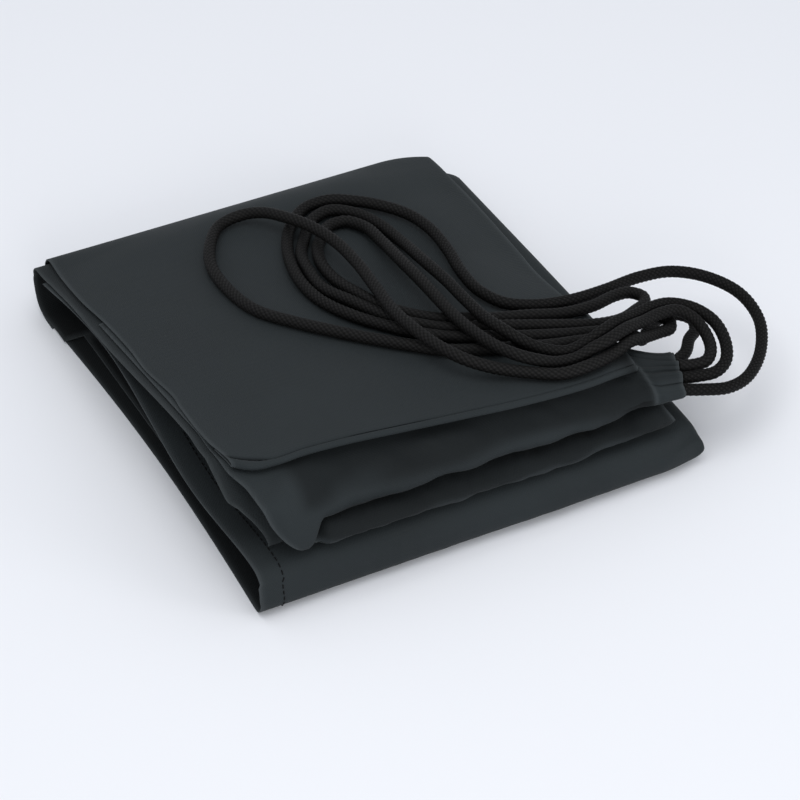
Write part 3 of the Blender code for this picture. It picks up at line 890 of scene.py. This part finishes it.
def fade(gaps, reach):
    """0 at the sheet's edges and 1 from the reach inwards."""
    return smoothstep(0.0, reach, np.minimum.reduce(gaps))


def edge_wear(gaps):
    return 0.9 * np.exp(-(np.minimum.reduce(gaps) / WORN_EDGE) ** 2)


def bend_across_fold(item):
    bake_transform(item)


def lip_seam(x, y, gaps):
    """Depth of the groove behind the lip, and the height of the rounded bead before it."""
    arc = gaps[2]
    back_from_lip = np.take_along_axis(arc, np.argmin(y, axis=0)[None], 0) - arc
    seam = 3.2 + 3.4 * smoothstep(-92.0, -106.0, x)
    slit = smoothstep(-93.0, -101.0, x)
    width = GROOVE_WIDTH + 0.45 * slit
    groove = np.exp(-((back_from_lip - seam) / width) ** 2) * (0.75 + 0.95 * slit)
    bead = np.exp(-((back_from_lip - 0.45 * seam) / (0.5 * seam)) ** 2) * BEAD_HEIGHT
    return groove, bead


def make_top():
    """The top panel, with its rounded lip and the seam behind it."""
    points = lay_sheet(top_section, top_edges, 150)[:, ::-1]
    gaps = edge_gaps(points)
    x, y, z = points[..., 0], points[..., 1], points[..., 2]
    groove, bead = lip_seam(x, y, gaps)
    ends = smoothstep(98.0, 90.0, x) * smoothstep(-111.5, -108.0, x)
    move = roof_wave(x, y, z) + (bead - groove) * ends
    points = points + grid_normals(points) * move[..., None]
    # Painted shade: the top panel's right front corner, under the gathered mouth, and the groove's
    # slit at its left end are darkened as if in shadow.
    painted_shade = np.maximum(0.85 * smoothstep(80.0, 94.0, x) * smoothstep(-70.0, -84.0, y),
                      groove * smoothstep(-92.0, -101.0, x))
    item = closed_sheet("top_panel_cloth", points, FABRIC, edge_wear(gaps[:2]), painted_shade)
    bend_across_fold(item)
    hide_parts("top_panel")


def painted_hollow_shade(name, points):
    """Painted shade: 1 in the hollows where shade falls (under the lip and the roll, inside the
    roll, at the top of the gathered mouth) and all over the base lining, 0 outside.
    """
    x, y, z = points[..., 0], points[..., 1], points[..., 2]
    if name == "roll_panel":
        under_lip = lip_height(x) - 4.0 - z + 1.6 * soft_noise(x / 16.0, y / 9.0, 51)
        lobe_end = smoothstep(-94.0, -84.0, x)
        inside = 0.8 * smoothstep(-118.5, -113.0, y) * (z < 40)
        return 0.8 * smoothstep(14.5, 8.5, under_lip) * lobe_end + inside
    if name == "channel_roll":
        under_roll = across(*CHANNEL_TOP, x) - z + 1.8 * soft_noise(x / 15.0, y / 9.0, 52)
        return 0.85 * smoothstep(5.2, 2.6, under_roll)
    if name == "gathered_mouth":
        return 0.5 * smoothstep(41.0, 44.5, z) * smoothstep(-116.0, -108.0, y)
    return np.full_like(x, float(name == "base_lining"))


def make_plain(name, section, edges, columns, mirrored, material, body,
               detail=None):
    """A ply that moves with one body or, if none is named, stays in place with its transform baked
    in.
    """
    points = lay_sheet(section, edges, columns)
    if mirrored:
        points = points[:, ::-1]
    gaps = edge_gaps(points)
    if detail:
        points = detail(points, gaps)
    item = closed_sheet(name + "_cloth", points, material, edge_wear(gaps), painted_hollow_shade(name, points))
    if body:
        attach(item, body)
    else:
        bend_across_fold(item)
    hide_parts(name)
    return points


def wrinkle_roll(points, gaps):
    x, y, z = points[..., 0], points[..., 1], points[..., 2]
    front = smoothstep(-98.0, -110.0, y)
    arc = gaps[3]
    wave = (1.4 * soft_noise(x / 24.0 + arc / 40.0, arc / 13.0, 11)
            + 1.1 * soft_noise(x / 10.0 + arc / 18.0, arc / 8.0, 12)
            + 0.35 * soft_noise(x / 4.0 + arc / 9.0, arc / 9.0, 13))
    move = wave * front * fade(gaps[:2], 8.0) + roof_wave(x, y, z)
    return points + grid_normals(points) * move[..., None]


def wrinkle_under(points, _gaps):
    move = roof_wave(points[..., 0], points[..., 1], points[..., 2])
    return points + grid_normals(points) * move[..., None]


def wrinkle_channel(points, gaps):
    x, y = points[..., 0], points[..., 1]
    front = smoothstep(-100.0, -112.0, y)
    arc = gaps[2]
    end = smoothstep(-62.0, -84.0, x)
    wave = (1.0 * soft_noise(x / 14.0 + arc / 20.0, arc / 9.0, 21)
            + (0.75 + 0.5 * end) * soft_noise(x / 6.0 - arc / 14.0, arc / 7.0, 22)
            + 0.3 * soft_noise(x / 3.0 + arc / 10.0, arc / 8.0, 23))
    return points + grid_normals(points) * (wave * front)[..., None]


def wrinkle_base(points, _gaps):
    x, y, z = points[..., 0], points[..., 1], points[..., 2]
    front = smoothstep(-110.0, -124.0, y) * smoothstep(1.0, 6.0, z)
    wave = (0.6 * soft_noise(x / 26.0, z / 12.0, 31) + 0.3 * soft_noise(x / 5.0, z / 24.0, 32)
            + 0.3 * soft_noise(x / 40.0, z / 5.0, 33))
    return points + grid_normals(points) * (wave * front)[..., None]


make_top()
make_plain("roll_panel", roll_section, roll_edges, 150, True, FABRIC,
           "upper_fold", wrinkle_roll)
make_plain("under_panel", under_section, under_edges, 110, True, SHADED_LINING,
           None, wrinkle_under)
make_plain("channel_roll", channel_section, channel_edges, 150, True, FABRIC,
           "upper_fold", wrinkle_channel)
BASE_POINTS = make_plain("base_panel", base_section, base_edges, 170, False, FABRIC,
                         "lower_fold", wrinkle_base)
make_plain("base_lining", lining_section, lining_edges, 80, False, SHADED_LINING,
           "lower_fold")
make_plain("gathered_mouth", roll_section, mouth_edges, 60, True, FABRIC,
           "upper_fold")


# Stitches of the hem

STITCH_LENGTH = 2.6
STITCH_GAP = 0.9
STITCH_RADIUS = 0.3
STITCH_START = 0.6          # from the end of the seam to its first stitch
STITCH_RINGS = 7
STITCH_SIDES = 8
FRONT_ROW = 60              # a row of the base panel just behind its front edge


def hem_stitch_line(points):
    """The hem's seam up the base panel's front and a way back over it, with its normals."""
    column = int(np.argmin(np.abs(points[FRONT_ROW, :, 0] - HEM_SEAM)))
    line = points[:, column]
    out = grid_normals(points)[:, column]
    keep = (line[:, 1] < -124.0) | (line[:, 2] > 5.0)
    keep &= line[:, 1] < -20.0
    return (line + out * PLY / 2)[keep], out[keep]


def stitch_rings(line, normals, start):
    """Rings of one stitch, which dips into the cloth at both ends."""
    at = np.linspace(start, start + STITCH_LENGTH, STITCH_RINGS)
    arc = lengths_along(line)
    out = np.stack([np.interp(at, arc, normals[:, k]) for k in range(3)], 1)
    share = np.linspace(-1.0, 1.0, STITCH_RINGS)
    centre = points_at(line, at) + out * (STITCH_RADIUS * (0.75 - 1.1 * share ** 4))[:, None]
    run = np.gradient(centre, axis=0)
    run /= np.linalg.norm(run, axis=1)[:, None]
    side = np.cross(run, out)
    side /= np.linalg.norm(side, axis=1)[:, None]
    up = np.cross(side, run)
    thick = STITCH_RADIUS * np.sqrt(np.clip(1.02 - share ** 6, 0.0, 1.0))
    angle = 2.0 * math.pi * np.arange(STITCH_SIDES) / STITCH_SIDES
    return (centre[:, None] + side[:, None] * (np.cos(angle) * thick[:, None])[..., None]
            + up[:, None] * (np.sin(angle) * thick[:, None])[..., None])


def octagon_cap(ring):
    return [ring[[0, 1, 2, 3]], ring[[0, 3, 4, 7]], ring[[4, 5, 6, 7]]]


def make_stitches(line, normals):
    """The row of stitches, as one mesh."""
    last_start = lengths_along(line)[-1] - STITCH_LENGTH
    starts = np.arange(STITCH_START, last_start, STITCH_LENGTH + STITCH_GAP)
    vertices = np.array([stitch_rings(line, normals, start) for start in starts])
    numbers = np.arange(vertices.size // 3).reshape(vertices.shape[:3])
    faces = []
    for number in numbers:
        first_cap = [face[::-1] for face in octagon_cap(number[0])]
        faces += [*tube_quads(number), *first_cap, *octagon_cap(number[-1])]
    item = add_mesh("hem_stitches", vertices.reshape(-1, 3), faces, THREAD)
    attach(item, "lower_fold")
    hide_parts("hem_stitching")


make_stitches(*hem_stitch_line(BASE_POINTS))


# Floor and light

FLOOR_SIZE = 3000.0         # half of its side, in millimetres
FLOOR_DROP = 0.0002         # metres that it lies under the packet


def make_floor():
    corners = [(-FLOOR_SIZE, -FLOOR_SIZE, 0.0), (FLOOR_SIZE, -FLOOR_SIZE, 0.0),
               (FLOOR_SIZE, FLOOR_SIZE, 0.0), (-FLOOR_SIZE, FLOOR_SIZE, 0.0)]
    material = bpy.data.materials.new("pale_floor")
    material.use_nodes = True
    shader = material.node_tree.nodes["Principled BSDF"]
    shader.inputs["Base Color"].default_value = (*FLOOR_COLOUR, 1.0)
    shader.inputs["Roughness"].default_value = 0.9
    shader.inputs["Specular IOR Level"].default_value = 0.1
    item = add_mesh("floor", corners, [[0, 1, 2, 3]], material)
    item.location.z = -FLOOR_DROP


def make_light(name, place, aim, size, power):
    data = bpy.data.lights.new(name, "AREA")
    data.shape = "DISK"
    data.size = size
    data.energy = power
    light = bpy.data.objects.new(name, data)
    light.location = place
    light.rotation_euler = (Vector(place) - Vector(aim)).to_track_quat("Z", "Y").to_euler()
    bpy.context.scene.collection.objects.link(light)


def make_world():
    world = bpy.data.worlds.new("studio")
    world.use_nodes = True
    background = world.node_tree.nodes["Background"]
    background.inputs["Color"].default_value = (*WORLD_COLOUR, 1.0)
    background.inputs["Strength"].default_value = 0.72
    bpy.context.scene.world = world


make_floor()
make_light("overhead", place=(-0.2, -0.1, 1.3), aim=(0.0, 0.0, 0.0), size=1.2, power=6.0)
make_light("front_left", place=(-0.6, -1.5, 0.55), aim=(0.0, 0.0, 0.02), size=0.7, power=6.0)
make_light("front_right", place=(1.1, -1.3, 0.6), aim=(0.0, 0.0, 0.02), size=0.7, power=5.0)
make_world()
bpy.context.scene.view_settings.view_transform = "Standard"
